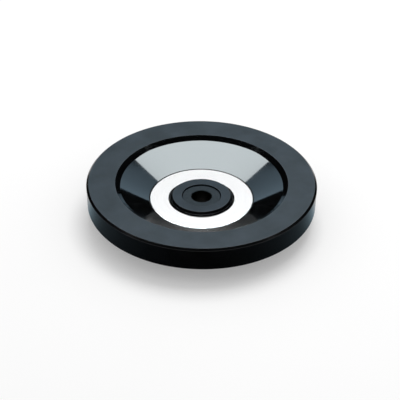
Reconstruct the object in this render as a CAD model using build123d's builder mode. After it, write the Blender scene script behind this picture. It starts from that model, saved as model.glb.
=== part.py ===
from build123d import *
import os
from math import atan2, cos, pi, radians, tan

# Disc handwheel for a machine spindle, in millimetres.
#
# The wheel turns about Z. The origin is the centre of the rear seat, where the hub bears on the
# shaft's shoulder, and +Z points out of the front, to the side the operator sees. Three pieces:
# a black phenolic moulding, a knurled steel insert moulded into its hub, and an aluminium ring.

# ---- driving dimensions ------------------------------------------------------------------------

# rim
wheel_diameter = 160.0      # widest, under the chamfer of the outer edge
rim_width = 20.0            # from the outer wall in to the sharp edge over the dish
rim_height = 17.2           # from the rim's back to its ground face
rim_rise = 11.3             # ground face of the rim above the front face of the hub
rim_draft = 2.2             # degrees: the outer wall narrows to the back
rim_chamfer = 1.4           # outer edge of the ground face
inner_wall_draft = 52.0     # degrees, the low wall between the ground face and the dish
rim_back_width = 19.0       # from the foot of the outer wall in to the finger cove
rim_back_chamfer = 1.0      # both edges of the rim's back
cove_draft = 16.0           # degrees, wall of the finger cove behind the rim

# dished web
dish_edge_drop = 2.7        # outer corner of the dish below the ground face
web_thickness = 6.0         # square to the cone

# hub
hub_length = 18.0           # from the rear seat to the front face
hub_diameter = 43.4         # under the chamfer of the front face
hub_chamfer = 1.5
hub_draft = 3.0             # degrees
plate_thickness = 5.5       # wall between the trim ring's seat and the back
boss_diameter = 44.0        # rear boss at the seat
boss_chamfer = 1.0

# trim ring
ring_diameter = 72.0
ring_thickness = 2.0
ring_drop = 2.4             # face of the ring below the front face of the hub
ring_outer_gap = 0.3        # to the wall of its seat
ring_inner_gap = 1.1        # to the foot of the hub

# steel insert
bore_diameter = 14.0
bore_chamfer = 0.4
insert_diameter = 27.2      # plain ends
insert_recess = 0.9         # end face of the insert below the front face of the hub
insert_chamfer = 0.6        # front edge only; the rear end is faced with the moulding
knurl_teeth = 36
knurl_root_height = 0.2     # above the plain ends
knurl_tooth_height = 1.1
knurl_length = 9.0          # the moulding grips the teeth and both their ends

# fillets of the moulding, each the radius wanted where its wall is long enough
dish_fillet = 4.0           # dish into the low wall of the rim
cove_fillet = 4.0           # back of the web into the wall of the finger cove
wall_share = 0.85           # most of a wall that a fillet may take

# ---- radii and heights that follow -------------------------------------------------------------

wheel_radius = wheel_diameter / 2
rim_face_z = hub_length + rim_rise
rim_back_z = rim_face_z - rim_height
rim_wall_top_z = rim_face_z - rim_chamfer
rim_foot_radius = wheel_radius - (rim_wall_top_z - rim_back_z) * tan(radians(rim_draft))
rim_edge_radius = wheel_radius - rim_width
cove_mouth_radius = rim_foot_radius - rim_back_width

hub_radius = hub_diameter / 2
hub_shoulder_z = hub_length - hub_chamfer
ring_face_z = hub_length - ring_drop
seat_z = ring_face_z - ring_thickness
seat_radius = ring_diameter / 2 + ring_outer_gap
hub_foot_radius = hub_radius + (hub_shoulder_z - seat_z) * tan(radians(hub_draft))

# front of the web, from the ring's seat out to the low wall of the rim
dish_corner_z = rim_face_z - dish_edge_drop
dish_corner_radius = rim_edge_radius - dish_edge_drop * tan(radians(inner_wall_draft))
web_slope = atan2(dish_corner_z - ring_face_z, dish_corner_radius - seat_radius)

# back of the web, parallel to its front, from the plate behind the ring out to the cove's wall
web_back_z = ring_face_z - web_thickness / cos(web_slope)
plate_back_z = seat_z - plate_thickness
plate_radius = seat_radius + (plate_back_z - web_back_z) / tan(web_slope)
cove_lean = tan(radians(cove_draft))
web_back_at_mouth_z = web_back_z + (cove_mouth_radius - seat_radius) * tan(web_slope)
cove_depth = (web_back_at_mouth_z - rim_back_z) / (1 + cove_lean * tan(web_slope))
cove_radius = cove_mouth_radius - cove_depth * cove_lean
cove_z = rim_back_z + cove_depth

boss_radius = boss_diameter / 2
boss_root_radius = boss_radius + plate_back_z * tan(radians(hub_draft))

insert_radius = insert_diameter / 2
insert_length = hub_length - insert_recess
knurl_start_z = (insert_length - knurl_length) / 2
knurl_root_radius = insert_radius + knurl_root_height
knurl_tip_radius = knurl_root_radius + knurl_tooth_height


def fillet_within(radius, wall, bend):
    """The radius wanted, or less where it would take too much of the wall beside it."""
    return min(radius, wall_share * wall / tan(bend / 2))


# a narrow web is steeper than the low wall, so this corner may bend either way
dish_corner_fillet = fillet_within(
    dish_fillet,
    wall=dish_edge_drop / cos(radians(inner_wall_draft)),
    bend=abs(pi / 2 - radians(inner_wall_draft) - web_slope),
)
cove_corner_fillet = fillet_within(
    cove_fillet,
    wall=cove_depth / cos(radians(cove_draft)) - rim_back_chamfer,
    bend=pi / 2 - radians(cove_draft) + web_slope,
)


# ---- steel insert ------------------------------------------------------------------------------

# The outer form by itself: the moulding is cast round it, so it also cuts its own seat there.
with BuildPart() as insert_blank:
    Cylinder(insert_radius, insert_length, align=(Align.CENTER, Align.CENTER, Align.MIN))
    with BuildSketch(Plane.XY.offset(knurl_start_z)):
        half_pitch = 180 / knurl_teeth
        knurl_corners = [
            Vector(knurl_root_radius if step % 2 else knurl_tip_radius, 0).rotate(
                Axis.Z, step * half_pitch
            )
            for step in range(2 * knurl_teeth)
        ]
        Polygon(*knurl_corners, align=None)
    extrude(amount=knurl_length)

with BuildPart() as hub_insert:
    add(insert_blank.part)
    front_edge = hub_insert.edges().filter_by(GeomType.CIRCLE).sort_by(Axis.Z)[-1]
    chamfer(front_edge, insert_chamfer)
    Hole(bore_diameter / 2)
    bore_edges = hub_insert.edges().filter_by(GeomType.CIRCLE).sort_by(SortBy.RADIUS)[:2]
    chamfer(bore_edges, bore_chamfer)


# ---- phenolic moulding -------------------------------------------------------------------------

with BuildPart() as wheel_body:
    with BuildSketch(Plane.XZ) as section:
        with BuildLine():
            Polyline(
                (rim_edge_radius, rim_face_z),
                (dish_corner_radius, dish_corner_z),
                (seat_radius, ring_face_z),
                (seat_radius, seat_z),
                (hub_foot_radius, seat_z),
                (hub_radius, hub_shoulder_z),
                (hub_radius - hub_chamfer, hub_length),
                (0, hub_length),
                (0, 0),
                (boss_radius, 0),
                (boss_root_radius, plate_back_z),
                (plate_radius, plate_back_z),
                (cove_radius, cove_z),
                (cove_mouth_radius, rim_back_z),
                (rim_foot_radius, rim_back_z),
                (wheel_radius, rim_wall_top_z),
                (wheel_radius - rim_chamfer, rim_face_z),
                close=True,
            )
        make_face()
        rounded_corners = (
            (dish_corner_radius, dish_corner_z, dish_corner_fillet),
            (cove_radius, cove_z, cove_corner_fillet),
        )
        for radius, height, size in rounded_corners:
            fillet(section.vertices().sort_by_distance((radius, height))[0], size)
        bevelled_corners = (
            (boss_radius, 0, boss_chamfer),
            (cove_mouth_radius, rim_back_z, rim_back_chamfer),
            (rim_foot_radius, rim_back_z, rim_back_chamfer),
        )
        for radius, height, size in bevelled_corners:
            chamfer(section.vertices().sort_by_distance((radius, height))[0], size)
    revolve(axis=Axis.Z)
    add(insert_blank.part, mode=Mode.SUBTRACT)
    # the mould's core keeps the front of the insert bare
    with BuildSketch(Plane.XY.offset(insert_length)):
        Circle(insert_radius)
    extrude(amount=insert_recess, mode=Mode.SUBTRACT)


# ---- aluminium trim ring -----------------------------------------------------------------------

with BuildPart() as trim_ring:
    with BuildSketch(Plane.XY.offset(seat_z)):
        Circle(ring_diameter / 2)
        Circle(hub_foot_radius + ring_inner_gap, mode=Mode.SUBTRACT)
    extrude(amount=ring_thickness)


# ---- write the pieces --------------------------------------------------------------------------

wheel_body.part.label = "wheel_body"
hub_insert.part.label = "hub_insert"
trim_ring.part.label = "trim_ring"

os.makedirs("parts", exist_ok=True)
export_step(wheel_body.part, "parts/wheel_body.step")
export_step(hub_insert.part, "parts/hub_insert.step")
export_step(trim_ring.part, "parts/trim_ring.step")
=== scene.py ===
import math

import bpy
from mathutils import Matrix, Vector


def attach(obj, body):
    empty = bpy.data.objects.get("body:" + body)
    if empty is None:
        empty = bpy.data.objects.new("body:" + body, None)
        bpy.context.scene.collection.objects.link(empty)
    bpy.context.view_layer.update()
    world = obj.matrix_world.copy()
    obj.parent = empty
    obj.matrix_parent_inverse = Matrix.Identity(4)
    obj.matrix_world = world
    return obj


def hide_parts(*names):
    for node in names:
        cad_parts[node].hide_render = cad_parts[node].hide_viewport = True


# Disc handwheel lying on the back of its hub. Its axis is Z and its rear seat lies at height 0.
# The wheel's sizes and lengths in materials are in millimetres, and the studio is in metres.
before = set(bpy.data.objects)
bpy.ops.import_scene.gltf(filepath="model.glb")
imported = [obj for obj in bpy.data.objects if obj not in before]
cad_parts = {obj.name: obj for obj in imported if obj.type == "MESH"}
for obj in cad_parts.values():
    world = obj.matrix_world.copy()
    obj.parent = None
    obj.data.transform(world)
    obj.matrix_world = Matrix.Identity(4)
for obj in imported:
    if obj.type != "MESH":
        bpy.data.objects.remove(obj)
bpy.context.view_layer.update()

MM = 0.001

# ---- dimensions, named and worked out as in the CAD --------------------------------------------

wheel_radius = 80.0
rim_width = 20.0
rim_height = 17.2
rim_rise = 11.3
rim_draft = 2.2             # drafts in degrees
rim_chamfer = 1.4
inner_wall_draft = 52.0
rim_back_width = 19.0
cove_draft = 16.0
dish_edge_drop = 2.7
web_thickness = 6.0
hub_length = 18.0
hub_radius = 21.7
hub_chamfer = 1.5
hub_draft = 3.0
plate_thickness = 5.5
boss_radius = 22.0
ring_radius = 36.0
ring_thickness = 2.0
ring_drop = 2.4
ring_outer_gap = 0.3
ring_inner_gap = 1.1
insert_radius = 13.6
insert_recess = 0.9
bore_radius = 7.0
knurl_tip_radius = 14.9
knurl_length = 9.0


def slope(degrees):
    return math.tan(math.radians(degrees))


rim_face_z = hub_length + rim_rise
rim_back_z = rim_face_z - rim_height
rim_wall_top_z = rim_face_z - rim_chamfer
rim_foot_radius = wheel_radius - (rim_wall_top_z - rim_back_z) * slope(rim_draft)
rim_edge_radius = wheel_radius - rim_width
cove_mouth_radius = rim_foot_radius - rim_back_width
ring_face_z = hub_length - ring_drop
seat_z = ring_face_z - ring_thickness
seat_radius = ring_radius + ring_outer_gap
hub_shoulder_z = hub_length - hub_chamfer
hub_foot_radius = hub_radius + (hub_shoulder_z - seat_z) * slope(hub_draft)
ring_hole_radius = hub_foot_radius + ring_inner_gap
dish_corner_z = rim_face_z - dish_edge_drop
dish_corner_radius = rim_edge_radius - dish_edge_drop * slope(inner_wall_draft)
web_rise = (dish_corner_z - ring_face_z) / (dish_corner_radius - seat_radius)
web_back_z = ring_face_z - web_thickness * math.hypot(1, web_rise)
plate_back_z = seat_z - plate_thickness
plate_radius = seat_radius + (plate_back_z - web_back_z) / web_rise
web_back_at_mouth_z = web_back_z + (cove_mouth_radius - seat_radius) * web_rise
cove_depth = (web_back_at_mouth_z - rim_back_z) / (1 + slope(cove_draft) * web_rise)
cove_radius = cove_mouth_radius - cove_depth * slope(cove_draft)
cove_z = rim_back_z + cove_depth
boss_root_radius = boss_radius + plate_back_z * slope(hub_draft)
knurl_start_z = (hub_length - insert_recess - knurl_length) / 2
knurl_end_z = knurl_start_z + knurl_length

# ---- sections ----------------------------------------------------------------------------------

# Radii that round the corners.
SHARP = 0.0                 # hidden, or against another piece
CRISP = 0.15                # cut by a tool
MOULDED = 0.3               # as moulded
SEAT_EDGE = 0.45            # where the dish meets the ring's seat
RING_EDGE = 0.5
BOSS_EDGE = 0.9
BOSS_ROOT = 1.2
RIM_BACK = 1.4
PLATE_EDGE = 3.0
DISH_AND_COVE = 4.0

# Corners of each turned section, clockwise with the axis at the left: radius, height, rounding,
# and the finish of the surface from this corner to the next one.
MOULDING = (
    (insert_radius, hub_length, CRISP, "faced"),
    (hub_radius - hub_chamfer, hub_length, CRISP, "polished"),
    (hub_radius, hub_shoulder_z, MOULDED, "polished"),
    (hub_foot_radius, seat_z, MOULDED, "polished"),
    (seat_radius, seat_z, CRISP, "polished"),
    (seat_radius, ring_face_z, SEAT_EDGE, "polished"),
    (dish_corner_radius, dish_corner_z, DISH_AND_COVE, "polished"),
    (rim_edge_radius, rim_face_z, CRISP, "ground"),
    (wheel_radius - rim_chamfer, rim_face_z, CRISP, "moulded"),
    (wheel_radius, rim_wall_top_z, MOULDED, "moulded"),
    (rim_foot_radius, rim_back_z, RIM_BACK, "moulded"),
    (cove_mouth_radius, rim_back_z, RIM_BACK, "moulded"),
    (cove_radius, cove_z, DISH_AND_COVE, "moulded"),
    (plate_radius, plate_back_z, PLATE_EDGE, "moulded"),
    (boss_root_radius, plate_back_z, BOSS_ROOT, "moulded"),
    (boss_radius, 0.0, BOSS_EDGE, "faced"),
    (insert_radius, 0.0, SHARP, "moulded"),
    (insert_radius, knurl_start_z, SHARP, "moulded"),
    (knurl_tip_radius, knurl_start_z, SHARP, "moulded"),
    (knurl_tip_radius, knurl_end_z, SHARP, "moulded"),
    (insert_radius, knurl_end_z, SHARP, "moulded"),
)
TRIM = (
    (ring_hole_radius, ring_face_z, CRISP, "satin"),
    (ring_radius, ring_face_z, RING_EDGE, "satin"),
    (ring_radius, seat_z, SHARP, "satin"),
    (ring_hole_radius, seat_z, SHARP, "satin"),
)
# Edges of the moulding that wear, as radius and height.
MOULDING_EDGES = (
    (wheel_radius, rim_wall_top_z),
    (wheel_radius - rim_chamfer, rim_face_z),
    (rim_edge_radius, rim_face_z),
    (seat_radius, ring_face_z),
    (hub_radius, hub_shoulder_z),
    (hub_radius - hub_chamfer, hub_length),
    (insert_radius, hub_length),
    (rim_foot_radius, rim_back_z),
    (cove_mouth_radius, rim_back_z),
    (boss_radius, 0.0),
)

# ---- turned pieces -----------------------------------------------------------------------------

SEGMENTS = 256              # round the axis
ARC_STEP = math.radians(10) # of a rounded edge


def strips_of(corners):
    """The section as strips: each has two points, the outward normal at both, and its finish."""
    points = [Vector(corner[:2]) for corner in corners]
    count = len(points)
    arcs = []
    for i, (here, (_, _, rounding, _)) in enumerate(zip(points, corners)):
        into = (here - points[i - 1]).normalized()
        out = (points[(i + 1) % count] - here).normalized()
        turn = into.x * out.y - into.y * out.x
        bend = abs(into.angle(out))
        reach = rounding * math.tan(bend / 2)
        arcs.append((here - into * reach, here + out * reach, into, turn, bend, rounding))
    strips = []
    for i, (start, end, into, turn, bend, rounding) in enumerate(arcs):
        finish = corners[i][3]
        if rounding:
            strips += arc_strips(start, into, math.copysign(rounding, turn), bend, finish)
        following = arcs[(i + 1) % count]
        along = (following[0] - end).normalized()
        normal = Vector((-along.y, along.x))
        strips.append((end, normal, following[0], normal, finish))
    return strips


def arc_strips(start, into, rounding, bend, finish):
    """Strips of an arc that leaves a point in a direction, and bends left for a positive radius."""
    steps = max(2, math.ceil(bend / ARC_STEP))
    step = Matrix.Rotation(math.copysign(bend / steps, rounding), 2)
    centre = start + Vector((-into.y, into.x)) * rounding
    spoke = (start - centre) / rounding
    made = []
    for _ in range(steps):
        turned = spoke.copy()
        turned.rotate(step)
        first, last = centre + spoke * rounding, centre + turned * rounding
        made.append((first, -spoke, last, -turned, finish))
        spoke = turned
    return made


def mesh_object(name, vertices, faces, materials, slots=None):
    """A mesh in the scene. slots numbers each face's material; without it all take the first."""
    mesh = bpy.data.meshes.new(name)
    mesh.from_pydata(vertices, [], faces)
    for material in materials:
        mesh.materials.append(material)
    if slots:
        mesh.polygons.foreach_set("material_index", slots)
    made = bpy.data.objects.new(name, mesh)
    bpy.context.scene.collection.objects.link(made)
    return made


def turned_piece(name, corners, finishes):
    """A closed ring of quads turned about Z, with each surface's true normals and materials."""
    strips = strips_of(corners)
    angles = [2 * math.pi * k / SEGMENTS for k in range(SEGMENTS)]
    compass = [(math.cos(a), math.sin(a)) for a in angles]
    vertices = [
        (start.x * c * MM, start.x * s * MM, start.y * MM)
        for start, *_ in strips
        for c, s in compass
    ]
    names = list(finishes)
    faces, normals, slots = [], [], []
    for i, (_, normal, _, next_normal, finish) in enumerate(strips):
        this_ring, next_ring = i * SEGMENTS, (i + 1) % len(strips) * SEGMENTS
        for k in range(SEGMENTS):
            m = (k + 1) % SEGMENTS
            faces.append((this_ring + k, next_ring + k, next_ring + m, this_ring + m))
            for way, step in ((normal, k), (next_normal, k), (next_normal, m), (normal, m)):
                c, s = compass[step]
                normals.append((way.x * c, way.x * s, way.y))
            slots.append(names.index(finish))
    piece = mesh_object(name, vertices, faces, finishes.values(), slots)
    piece.data.polygons.foreach_set("use_smooth", [True] * len(faces))
    piece.data.normals_split_custom_set(normals)
    piece.data.update()
    return piece


# ---- shader nodes ------------------------------------------------------------------------------

NOISE_SPAN = (0.3, 0.7)     # nearly all of a noise lies between these


class Shader:
    """Nodes of a material or world. Inputs may be numbers, colours or other nodes' outputs."""

    def __init__(self, owner):
        self.owner = owner
        owner.use_nodes = True
        self.tree = owner.node_tree
        self.tree.nodes.clear()

    def node(self, kind, inputs=None, **settings):
        made = self.tree.nodes.new("ShaderNode" + kind)
        for setting, value in settings.items():
            setattr(made, setting, value)
        for key, value in (inputs or {}).items():
            if isinstance(value, bpy.types.NodeSocket):
                self.tree.links.new(value, made.inputs[key])
            else:
                made.inputs[key].default_value = value
        return made

    def math(self, operation, *values):
        return self.node("Math", dict(enumerate(values)), operation=operation).outputs[0]

    def ramp(self, value, start, end, low=0.0, high=1.0, interpolation="LINEAR"):
        """From low to high while the value goes from start to end, and level beyond them."""
        inputs = {"Value": value, "From Min": start, "From Max": end}
        inputs.update({"To Min": low, "To Max": high})
        return self.node("MapRange", inputs, interpolation_type=interpolation).outputs[0]

    def noise(self, vector, scale, detail=2.0):
        """A noise of that many features to the millimetre, from 0 to 1."""
        inputs = {"Vector": vector, "Scale": scale, "Detail": detail, "Roughness": 0.55}
        return self.node("TexNoise", inputs).outputs["Fac"]

    def spread(self, noise, low=0.0, high=1.0):
        """A noise, which keeps near its middle, drawn out to run from low to high."""
        return self.ramp(noise, *NOISE_SPAN, low, high)

    def rings(self, place, pitch, sweep=1.5):
        """Fine lines round the axis, as a lathe or a grinding wheel leaves them.

        They have that pitch in millimetres, and a larger sweep changes them more on the way round.
        """
        across = self.math("DIVIDE", self.math("ADD", place.radius, place.height), pitch)
        along = self.math("MULTIPLY", self.math("SINE", place.angle), sweep)
        other = self.math("MULTIPLY", self.math("COSINE", place.angle), sweep)
        lines = self.node("CombineXYZ", {"X": across, "Y": along, "Z": other}).outputs[0]
        return self.noise(lines, scale=1.0, detail=1.0)

    def edge_wear(self, place, edges, width, most):
        """The most on the circles (radius, height), falling to 0 at that distance from them."""
        worn = 0.0
        for radius, height in edges:
            across = self.math("SUBTRACT", place.radius, radius)
            down = self.math("SUBTRACT", place.height, height)
            square = self.math("MULTIPLY_ADD", across, across, self.math("MULTIPLY", down, down))
            share = self.math("DIVIDE", self.math("SQRT", square), width)
            worn = self.math("MAXIMUM", worn, self.math("SUBTRACT", 1.0, share))
        return self.math("MULTIPLY", worn, most)

    def mix(self, share, first, second):
        """The first colour, or as much of the second as the share says."""
        factor, a, b = 0, 6, 7      # the sockets that a mix of colours uses
        inputs = {factor: share, a: first, b: second}
        return self.node("Mix", inputs, data_type="RGBA").outputs[2]

    def bump(self, height, strength, depth):
        inputs = {"Height": height, "Strength": strength, "Distance": depth * MM}
        return self.node("Bump", inputs).outputs[0]

    def seen(self):
        """1 for what the camera, mirrors and glass see, 0 for the light that falls on things."""
        path = self.node("LightPath").outputs
        seen = self.math("MAXIMUM", path["Is Camera Ray"], path["Is Glossy Ray"])
        return self.math("MAXIMUM", seen, path["Is Transmission Ray"])

    def output(self, surface, kind="OutputMaterial"):
        """The material or world, with that shader as its surface."""
        self.node(kind, {"Surface": surface.outputs[0]})
        return self.owner

    def principled(self, **inputs):
        """The material, from Principled BSDF inputs named with _ for a space."""
        named = {key.replace("_", " "): value for key, value in inputs.items()}
        return self.output(self.node("BsdfPrincipled", named))


class Place:
    """Sockets of a point: itself, radius and height in millimetres, and angle in radians."""

    def __init__(self, shader):
        metres = shader.node("TexCoord").outputs["Object"]
        scaled = shader.node("VectorMath", {0: metres, "Scale": 1 / MM}, operation="SCALE")
        self.point = scaled.outputs[0]
        x, y, self.height = shader.node("SeparateXYZ", {0: self.point}).outputs
        flat = shader.node("CombineXYZ", {"X": x, "Y": y}).outputs[0]
        self.radius = shader.node("VectorMath", {0: flat}, operation="LENGTH").outputs["Value"]
        self.angle = shader.math("ARCTAN2", y, x)


def material_shader(name):
    return Shader(bpy.data.materials.new(name))


def glowing(name, colour, strength):
    shader = material_shader(name)
    return shader.output(shader.node("Emission", {"Color": colour, "Strength": strength}))


# ---- materials ---------------------------------------------------------------------------------

POLISHED_DARK = (0.0010, 0.0012, 0.0014, 1)
POLISHED_LIGHT = (0.0018, 0.0021, 0.0025, 1)
POLISHED_WORN = (0.03, 0.033, 0.036, 1)

GROUND_DARK = (0.013, 0.027, 0.038, 1)
GROUND_LIGHT = (0.028, 0.046, 0.062, 1)
FACED_DARK = (0.002, 0.015, 0.027, 1)
FACED_LIGHT = (0.012, 0.029, 0.045, 1)
GROUND_LINES = (0.040, 0.058, 0.070, 1)
GROUND_WORN = (0.07, 0.08, 0.09, 1)

MOULDED_DARK = (0.0012, 0.0014, 0.0016, 1)
MOULDED_LIGHT = (0.0022, 0.0025, 0.0030, 1)
MOULDED_WORN = (0.010, 0.011, 0.013, 1)

ALUMINIUM_DARK = (0.88, 0.885, 0.89, 1)
ALUMINIUM_LIGHT = (0.93, 0.935, 0.94, 1)
ALUMINIUM_CLOUD = (0.88, 0.90, 0.93, 1)

STEEL_DARK = (0.026, 0.038, 0.047, 1)
STEEL_LIGHT = (0.041, 0.056, 0.067, 1)
STEEL_LINES = (0.06, 0.07, 0.08, 1)
# Painted shade: the wall of the bore takes this darker colour in place of the shade in the hole.
STEEL_BORE_SHADE = (0.014, 0.014, 0.013, 1)
BORE_MARGIN = 0.1           # so that the painted shade covers the whole wall of the bore


def phenolic_polished():
    """Moulded skin of the dish and the hub, buffed to a mirror."""
    shader = material_shader("phenolic_polished")
    place = Place(shader)
    cloud = shader.noise(place.point, scale=0.09)
    swirl = shader.rings(place, pitch=0.35)
    worn = shader.edge_wear(place, MOULDING_EDGES, width=0.5, most=0.3)
    colour = shader.mix(shader.spread(cloud), POLISHED_DARK, POLISHED_LIGHT)
    colour = shader.mix(worn, colour, POLISHED_WORN)
    return shader.principled(
        Base_Color=colour,
        Roughness=shader.spread(swirl, 0.05, 0.09),
        IOR=1.5,
        Normal=shader.bump(swirl, strength=0.02, depth=0.01),
    )


def phenolic_ground(name, dark, light):
    """Faces ground flat after moulding: duller and a little greyer, with lines round the axis."""
    shader = material_shader(name)
    place = Place(shader)
    cloud = shader.noise(place.point, scale=0.06)
    lines = shader.rings(place, pitch=0.25)
    worn = shader.edge_wear(place, MOULDING_EDGES, width=0.5, most=0.3)
    colour = shader.mix(shader.spread(cloud), dark, light)
    colour = shader.mix(shader.spread(lines, high=0.14), colour, GROUND_LINES)
    colour = shader.mix(worn, colour, GROUND_WORN)
    return shader.principled(
        Base_Color=colour,
        Roughness=shader.spread(lines, 0.275, 0.305),
        IOR=1.35,
        Normal=shader.bump(lines, strength=0.012, depth=0.02),
    )


def phenolic_moulded():
    """Skin as it leaves the mould: deep black and glossy."""
    shader = material_shader("phenolic_moulded")
    place = Place(shader)
    cloud = shader.noise(place.point, scale=0.09)
    skin = shader.noise(place.point, scale=0.5)
    worn = shader.edge_wear(place, MOULDING_EDGES, width=0.6, most=0.2)
    colour = shader.mix(shader.spread(cloud), MOULDED_DARK, MOULDED_LIGHT)
    colour = shader.mix(worn, colour, MOULDED_WORN)
    return shader.principled(
        Base_Color=colour,
        Roughness=shader.spread(skin, 0.12, 0.18),
        IOR=1.5,
        Normal=shader.bump(skin, strength=0.03, depth=0.02),
    )


def satin_aluminium():
    """Turned, then satin anodised."""
    shader = material_shader("satin_aluminium")
    place = Place(shader)
    lines = shader.rings(place, pitch=0.16)
    broad = shader.rings(place, pitch=1.8)
    cloud = shader.noise(place.point, scale=0.15)
    colour = shader.mix(shader.spread(lines), ALUMINIUM_DARK, ALUMINIUM_LIGHT)
    colour = shader.mix(shader.spread(cloud, high=0.3), colour, ALUMINIUM_CLOUD)
    return shader.principled(
        Base_Color=colour,
        Metallic=1.0,
        Roughness=shader.spread(broad, 0.235, 0.25),
        Normal=shader.bump(lines, strength=0.02, depth=0.01),
    )


def blackened_steel():
    """Turned, then chemically blackened: oxide that shows the tool's lines. The bore's wall is
    painted darker, as painted shade in the hole.
    """
    shader = material_shader("blackened_steel")
    place = Place(shader)
    lines = shader.rings(place, pitch=0.14)
    oxide = shader.noise(place.point, scale=0.6)
    bore_shade = shader.math("LESS_THAN", place.radius, bore_radius + BORE_MARGIN)
    colour = shader.mix(shader.spread(oxide), STEEL_DARK, STEEL_LIGHT)
    colour = shader.mix(shader.spread(lines, high=0.25), colour, STEEL_LINES)
    # Painted shade: the wall of the bore is painted darker, where shade falls in the hole.
    colour = shader.mix(bore_shade, colour, STEEL_BORE_SHADE)
    return shader.principled(
        Base_Color=colour,
        Metallic=1.0,
        Roughness=shader.spread(lines, 0.28, 0.36),
        Normal=shader.bump(lines, strength=0.08, depth=0.015),
    )


# ---- the object --------------------------------------------------------------------------------

phenolic = {
    "polished": phenolic_polished(),
    "ground": phenolic_ground("phenolic_ground", GROUND_DARK, GROUND_LIGHT),
    "faced": phenolic_ground("phenolic_faced", FACED_DARK, FACED_LIGHT),
    "moulded": phenolic_moulded(),
}
moulding = turned_piece("moulding", MOULDING, phenolic)
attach(moulding, "root")
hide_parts("wheel_body")

trim = turned_piece("trim", TRIM, {"satin": satin_aluminium()})
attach(trim, "root")
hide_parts("trim_ring")

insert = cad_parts["hub_insert"]
insert.material_slots[0].material = blackened_steel()

# ---- floor -------------------------------------------------------------------------------------

FLOOR_HALF = 12.0
FLOOR_DARK = (0.695, 0.695, 0.695, 1)
FLOOR_LIGHT = (0.705, 0.705, 0.705, 1)
FLOOR_GLOW = 0.28
WHITE = (1.0, 1.0, 1.0, 1)


def pale_floor():
    """A pale table lit from below as well, as far as the camera and reflections see."""
    shader = material_shader("pale_floor")
    tone = shader.spread(shader.noise(Place(shader).point, scale=0.004))
    return shader.principled(
        Base_Color=shader.mix(tone, FLOOR_DARK, FLOOR_LIGHT),
        Roughness=0.9,
        Specular_IOR_Level=0.0,
        Emission_Color=WHITE,
        Emission_Strength=shader.math("MULTIPLY", shader.seen(), FLOOR_GLOW),
    )


floor_corners = [
    (x * FLOOR_HALF, y * FLOOR_HALF, 0.0) for x, y in ((-1, -1), (1, -1), (1, 1), (-1, 1))
]
floor = mesh_object("floor", floor_corners, [(0, 1, 2, 3)], [pale_floor()])

# ---- light -------------------------------------------------------------------------------------

KEY_PLACE = (0.22, 0.56, 1.5)
KEY_SIZE = (0.95, 1.0)
KEY_RADIANCE = 4.8
FILL = 0.6                  # of the world, on what it lights

# The curved softbox over the wheel, slightly behind it: the right half's corners from the middle
# of its front to the middle of its back, as x and y over its height.
SOFTBOX_HALF = (
    (0.0, -0.15), (0.79, 0.15), (0.79, 0.66), (0.64, 0.66), (0.5, 0.44), (0.3, 0.25), (0.0, 0.14),
)
SOFTBOX_HEIGHT = 1.2
SOFTBOX_STRENGTH = 14.2     # in the middle
SOFTBOX_LOSS = 0.65         # share lost where x is as much as the height
SOFTBOX_COLOUR = (0.88, 0.97, 1.0, 1)

# The black room, in degrees: azimuth from the back round to the right, aside from the back to
# either side, and elevation. A slanting edge has its rise for each degree aside, and its
# elevation at the back.
ROOM_RADIUS = 1.6
ROOM_LIFT = 0.01
ROOM_TOP = 60
CELL = 1
PANEL_ASIDE = (24, 56)
PANEL_LOWER_EDGE = (1.15, -16.15)
PANEL_UPPER_EDGE = (1.05, -4.65)
PANEL_LEAST_TOP = 27
PANEL_COLOUR = (0.57, 0.81, 1.0, 1)
PANEL_STRENGTH = 1.35
CARD_AZIMUTH = (-10, 14)
CARD_ELEVATION = (30, 46)
CARD_STRENGTH = 1.45
GAP_ASIDE = 66
GAP_UPPER_EDGE = (0.7, -36.4)
GAP_TOP = 38
CLOTH, PANEL, CARD = range(3)

CLOTH_COLOUR = (0.005, 0.005, 0.005, 1)

# The card on the table. The sides, the front and the gel fade in by where a point lies round the
# axis: -1 is the back, 0 either side and 1 the front.
TABLE_CARD_INNER = 0.04
TABLE_CARD_LIFT = 0.0005
TABLE_CARD_STEPS = 120
TABLE_CARD_COLOUR = (0.003, 0.003, 0.003, 1)
BLACK_FADE = (200.0, 300.0) # millimetres from the axis
SIDES_FADE = (-0.45, 0.35)
SIDES_COVER = 0.8
FRONT_FADE = (0.2, 1.0)
FRONT_COVER = 0.2
GEL_FADE = (-0.2, 0.0)
GEL_COLOUR = (0.62, 0.86, 1.0, 1)


def key_lamp():
    """Lights the floor and the object's own colours, and casts the shadow."""
    lamp = bpy.data.lights.new("key", "AREA")
    lamp.shape = "RECTANGLE"
    lamp.size, lamp.size_y = KEY_SIZE
    lamp.energy = KEY_RADIANCE * math.pi * lamp.size * lamp.size_y
    made = bpy.data.objects.new("key", lamp)
    made.location = KEY_PLACE
    made.visible_camera = False
    made.visible_glossy = False
    bpy.context.scene.collection.objects.link(made)


def only_mirrored(made):
    """Studio gear that nothing but reflections sees."""
    made.visible_camera = False
    made.visible_diffuse = False
    made.visible_shadow = False


def softbox_glow():
    """Full in the middle, falling off with the cube of the distance to either side."""
    shader = material_shader("softbox")
    x = shader.node("SeparateXYZ", {0: Place(shader).point}).outputs["X"]
    aside = shader.math("DIVIDE", shader.math("ABSOLUTE", x), SOFTBOX_HEIGHT / MM)
    lost = shader.math("MULTIPLY", shader.math("POWER", aside, 3.0), SOFTBOX_LOSS)
    strength = shader.math("MULTIPLY", shader.math("SUBTRACT", 1.0, lost), SOFTBOX_STRENGTH)
    glow = shader.node("Emission", {"Color": SOFTBOX_COLOUR, "Strength": strength})
    return shader.output(glow)


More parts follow.
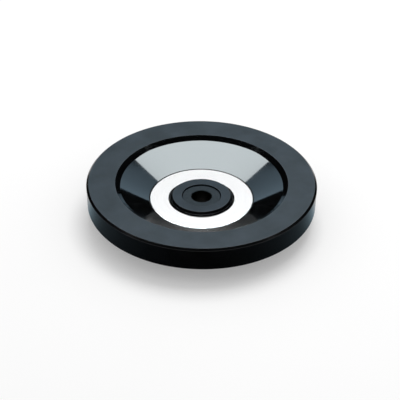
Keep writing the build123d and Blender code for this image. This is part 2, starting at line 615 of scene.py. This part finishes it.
def softbox():
    outline = SOFTBOX_HALF + tuple((-x, y) for x, y in SOFTBOX_HALF[-2:0:-1])
    corners = [(x * SOFTBOX_HEIGHT, y * SOFTBOX_HEIGHT, SOFTBOX_HEIGHT) for x, y in outline]
    face = tuple(range(len(corners)))
    only_mirrored(mesh_object("softbox", corners, [face], [softbox_glow()]))


def elevation_of(edge, aside):
    rise, start = edge
    return rise * aside + start


def between(value, limits):
    low, high = limits
    return low < value < high


def lining(azimuth, elevation):
    """What hangs there: CLOTH, PANEL or CARD, or None for a gap where the white world shows."""
    around = (azimuth + 180) % 360 - 180
    aside = abs(around)
    panel_low = elevation_of(PANEL_LOWER_EDGE, aside)
    panel_high = max(PANEL_LEAST_TOP, elevation_of(PANEL_UPPER_EDGE, aside))
    if between(aside, PANEL_ASIDE) and between(elevation, (panel_low, panel_high)):
        return PANEL
    if between(around, CARD_AZIMUTH) and between(elevation, CARD_ELEVATION):
        return CARD
    if aside > GAP_ASIDE and elevation < min(GAP_TOP, elevation_of(GAP_UPPER_EDGE, aside)):
        return None
    return CLOTH


def black_cloth():
    shader = material_shader("black_cloth")
    return shader.principled(Base_Color=CLOTH_COLOUR, Roughness=1.0, Specular_IOR_Level=0.0)


def black_room():
    """Black cloth round and over the table keeps the edge lines of the dish dark."""
    azimuths, elevations = range(0, 360, CELL), range(0, ROOM_TOP, CELL)
    vertices = []
    for elevation in [*elevations, ROOM_TOP]:
        for azimuth in azimuths:
            a = math.radians(azimuth)
            place = Vector((math.sin(a), math.cos(a), slope(elevation))) * ROOM_RADIUS
            vertices.append(place + Vector((0, 0, ROOM_LIFT)))
    count = len(azimuths)
    ceiling = tuple(range(len(vertices) - count, len(vertices)))
    faces, slots = [ceiling], [CLOTH]
    for row, elevation in enumerate(elevations):
        for k, azimuth in enumerate(azimuths):
            slot = lining(azimuth + CELL / 2, elevation + CELL / 2)
            if slot is None:
                continue
            m = (k + 1) % count
            low, high = row * count, (row + 1) * count
            faces.append((low + k, low + m, high + m, high + k))
            slots.append(slot)
    panel = glowing("panel", PANEL_COLOUR, PANEL_STRENGTH)
    card = glowing("card", WHITE, CARD_STRENGTH)
    materials = [black_cloth(), panel, card]
    only_mirrored(mesh_object("black_room", vertices, faces, materials, slots))


def black_card():
    """Black away from the wheel. Near it: black in front, a bluish gel beside it, clear behind."""
    shader = material_shader("black_card")
    place = Place(shader)
    front = shader.math("MULTIPLY", shader.math("SINE", place.angle), -1.0)
    sides = shader.ramp(front, *SIDES_FADE, high=SIDES_COVER, interpolation="SMOOTHSTEP")
    middle = shader.ramp(front, *FRONT_FADE, high=FRONT_COVER)
    away = shader.ramp(place.radius, *BLACK_FADE)
    cover = shader.math("MAXIMUM", away, shader.math("ADD", sides, middle))
    tint = shader.mix(shader.ramp(front, *GEL_FADE), WHITE, GEL_COLOUR)
    clear = shader.node("BsdfTransparent", {"Color": tint})
    dark = shader.node("BsdfDiffuse", {"Color": TABLE_CARD_COLOUR})
    inputs = {0: cover, 1: clear.outputs[0], 2: dark.outputs[0]}
    return shader.output(shader.node("MixShader", inputs))


def table_card():
    """A black card on the table round the wheel, which its outer wall mirrors."""
    steps = TABLE_CARD_STEPS
    angles = [2 * math.pi * k / steps for k in range(steps)]
    vertices = [
        (radius * math.cos(a), radius * math.sin(a), TABLE_CARD_LIFT)
        for radius in (TABLE_CARD_INNER, ROOM_RADIUS)
        for a in angles
    ]
    turns = [(k, (k + 1) % steps) for k in range(steps)]
    faces = [(k, m, steps + m, steps + k) for k, m in turns]
    only_mirrored(mesh_object("table_card", vertices, faces, [black_card()]))


def studio_world():
    """White to the camera and to reflections; dimmer as a fill, so the shadow stays."""
    shader = Shader(bpy.data.worlds.new("studio"))
    strength = shader.ramp(shader.seen(), 0.0, 1.0, low=FILL)
    background = shader.node("Background", {"Color": WHITE, "Strength": strength})
    bpy.context.scene.world = shader.output(background, kind="OutputWorld")


key_lamp()
softbox()
black_room()
table_card()
studio_world()

# ---- camera ------------------------------------------------------------------------------------

ELEVATION = math.radians(34.10)
ROLL = math.radians(0.717)
DISTANCE = 1.3415
FOCAL_PIXELS = 1935.3
FRAME_PIXELS = 400
SENSOR_WIDTH = 36.0
CLIPPING = (0.05, 100.0)
TARGET = Vector((0, 0, rim_face_z * MM))    # centre of the rim's face
TARGET_OFFSET = (1.69, -18.27)              # where it lies from the frame's middle, in pixels


def looking_along(direction):
    """Axes of a camera that looks that way, with the photograph's roll."""
    return direction.to_track_quat("-Z", "Y").to_matrix() @ Matrix.Rotation(ROLL, 3, "Z")


def photo_camera():
    camera = bpy.data.objects.new("camera", bpy.data.cameras.new("camera"))
    bpy.context.scene.collection.objects.link(camera)
    bpy.context.scene.camera = camera
    camera.data.sensor_width = SENSOR_WIDTH
    camera.data.lens = FOCAL_PIXELS / FRAME_PIXELS * SENSOR_WIDTH
    camera.data.clip_start, camera.data.clip_end = CLIPPING
    back = Vector((0, -math.cos(ELEVATION), math.sin(ELEVATION)))
    turn = looking_along(-back)
    right, up = turn.col[0], turn.col[1]
    pixel = DISTANCE / FOCAL_PIXELS
    middle = TARGET - right * TARGET_OFFSET[0] * pixel + up * TARGET_OFFSET[1] * pixel
    camera.location = TARGET + back * DISTANCE
    camera.rotation_euler = looking_along(middle - camera.location).to_euler()


photo_camera()
bpy.context.scene.view_settings.view_transform = "Standard"
